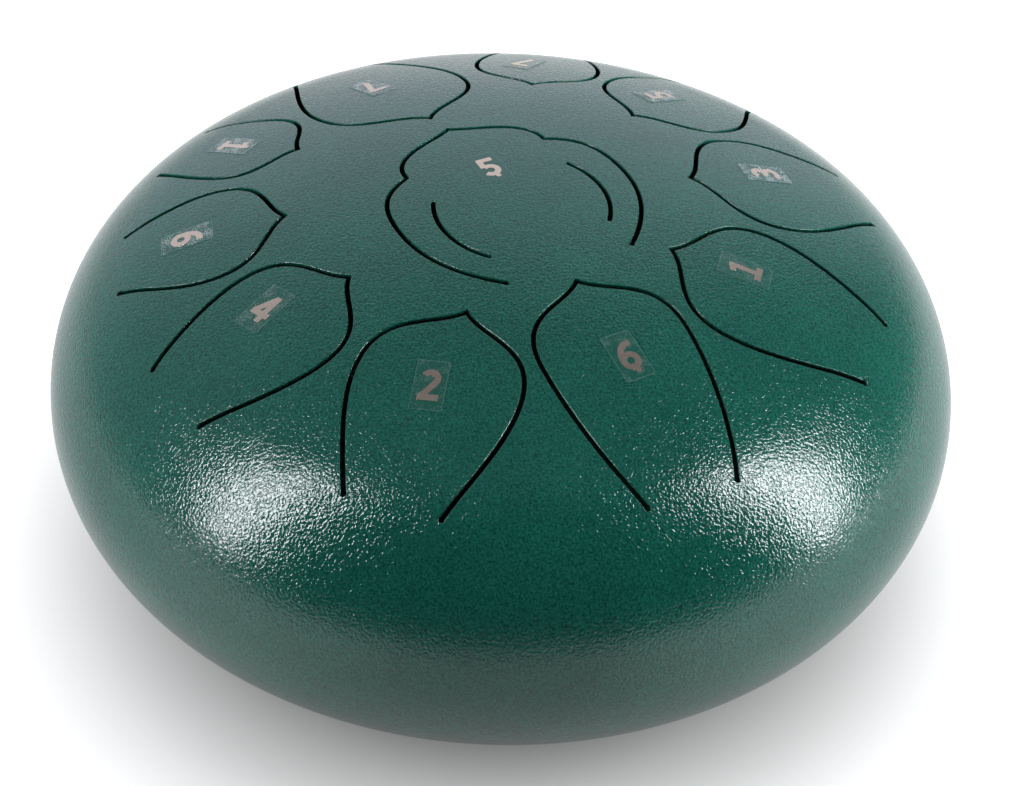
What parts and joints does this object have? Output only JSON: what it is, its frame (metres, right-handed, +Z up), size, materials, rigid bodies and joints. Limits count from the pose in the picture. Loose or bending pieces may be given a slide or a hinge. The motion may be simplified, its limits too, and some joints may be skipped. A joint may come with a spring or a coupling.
{
  "type": "steel tongue drum",
  "caption": "Lens-shaped steel drum with sprung tongues cut into its crown, number labels, a sound port in the base and rubber feet, played by hand or mallet.",
  "frame": {"origin": "on the floor plane of the feet, under the drum's vertical axis", "axes": "+Z up along the drum's axis, -Y towards the player in the picture, +X to the player's right"},
  "size_m": [0.305, 0.305, 0.1441],
  "materials": {
    "powder_coat": "orange-peel powder coat, satin",
    "label_film": "clear film",
    "label_foil": "metallic foil, rose beige",
    "foot_rubber": "moulded, matte",
    "zinc_fastener": "zinc plated"
  },
  "bodies": {
    "shell": {"top_shell": "powder_coat", "bottom_shell": "powder_coat", "rim_weld": "powder_coat", "rubber_foot_1": "foot_rubber", "rubber_foot_2": "foot_rubber", "rubber_foot_3": "foot_rubber", "rubber_foot_4": "foot_rubber", "foot_screws": "zinc_fastener", "foot_washers": "zinc_fastener", "foot_nuts": "zinc_fastener"},
    "note_low_5": {"tongue_low_5": "powder_coat", "label_low_5": "label_film"},
    "note_2": {"tongue_2": "powder_coat", "label_2": "label_film"},
    "note_low_6": {"tongue_low_6": "powder_coat", "label_low_6": "label_film"},
    "note_1": {"tongue_1": "powder_coat", "label_1": "label_film"},
    "note_3": {"tongue_3": "powder_coat", "label_3": "label_film"},
    "note_5": {"tongue_5": "powder_coat", "label_5": "label_film"},
    "note_7": {"tongue_7": "powder_coat", "label_7": "label_film"},
    "note_low_7": {"tongue_low_7": "powder_coat", "label_low_7": "label_film"},
    "note_high_1": {"tongue_high_1": "powder_coat", "label_high_1": "label_film"},
    "note_6": {"tongue_6": "powder_coat", "label_6": "label_film"},
    "note_4": {"tongue_4": "powder_coat", "label_4": "label_film"}
  },
  "joints": [
    {"name": "flex_low_5", "type": "hinge", "parent": "shell", "child": "note_low_5", "pos_m": [0.01985, -0.03437, 0.14065], "axis": [0.866, 0.5, 0], "range_deg": [-1, 1], "stiffness_Nm_per_rad": 157},
    {"name": "flex_2", "type": "hinge", "parent": "shell", "child": "note_2", "pos_m": [-0.03024, -0.12129, 0.11612], "axis": [0.9588, -0.284, 0], "range_deg": [-1, 1], "stiffness_Nm_per_rad": 124.7},
    {"name": "flex_low_6", "type": "hinge", "parent": "shell", "child": "note_low_6", "pos_m": [0.05675, -0.11138, 0.11612], "axis": [0.891, 0.454, 0], "range_deg": [-1, 1], "stiffness_Nm_per_rad": 103.8},
    {"name": "flex_1", "type": "hinge", "parent": "shell", "child": "note_1", "pos_m": [0.11708, -0.04378, 0.11612], "axis": [0.309, 0.9511, 0], "range_deg": [-1, 1], "stiffness_Nm_per_rad": 122.9},
    {"name": "flex_3", "type": "hinge", "parent": "shell", "child": "note_3", "pos_m": [0.11854, 0.03966, 0.11612], "axis": [-0.3338, 0.9426, 0], "range_deg": [-1, 1], "stiffness_Nm_per_rad": 135.2},
    {"name": "flex_5", "type": "hinge", "parent": "shell", "child": "note_5", "pos_m": [0.07347, 0.10113, 0.11612], "axis": [-0.809, 0.5878, 0], "range_deg": [-1, 1], "stiffness_Nm_per_rad": 151.7},
    {"name": "flex_7", "type": "hinge", "parent": "shell", "child": "note_7", "pos_m": [0.01089, 0.12452, 0.11612], "axis": [-0.9962, 0.0872, 0], "range_deg": [-1, 1], "stiffness_Nm_per_rad": 158.5},
    {"name": "flex_low_7", "type": "hinge", "parent": "shell", "child": "note_low_7", "pos_m": [-0.06624, 0.10601, 0.11612], "axis": [-0.8406, -0.5417, 0], "range_deg": [-1, 1], "stiffness_Nm_per_rad": 123.6},
    {"name": "flex_high_1", "type": "hinge", "parent": "shell", "child": "note_high_1", "pos_m": [-0.11329, 0.05283, 0.11612], "axis": [-0.4384, -0.8988, 0], "range_deg": [-1, 1], "stiffness_Nm_per_rad": 150.1},
    {"name": "flex_6", "type": "hinge", "parent": "shell", "child": "note_6", "pos_m": [-0.12442, -0.01198, 0.11612], "axis": [0.0785, -0.9969, 0], "range_deg": [-1, 1], "stiffness_Nm_per_rad": 147.1},
    {"name": "flex_4", "type": "hinge", "parent": "shell", "child": "note_4", "pos_m": [-0.0985, -0.07696, 0.11612], "axis": [0.5807, -0.8141, 0], "range_deg": [-1, 1], "stiffness_Nm_per_rad": 128.3}
  ]
}
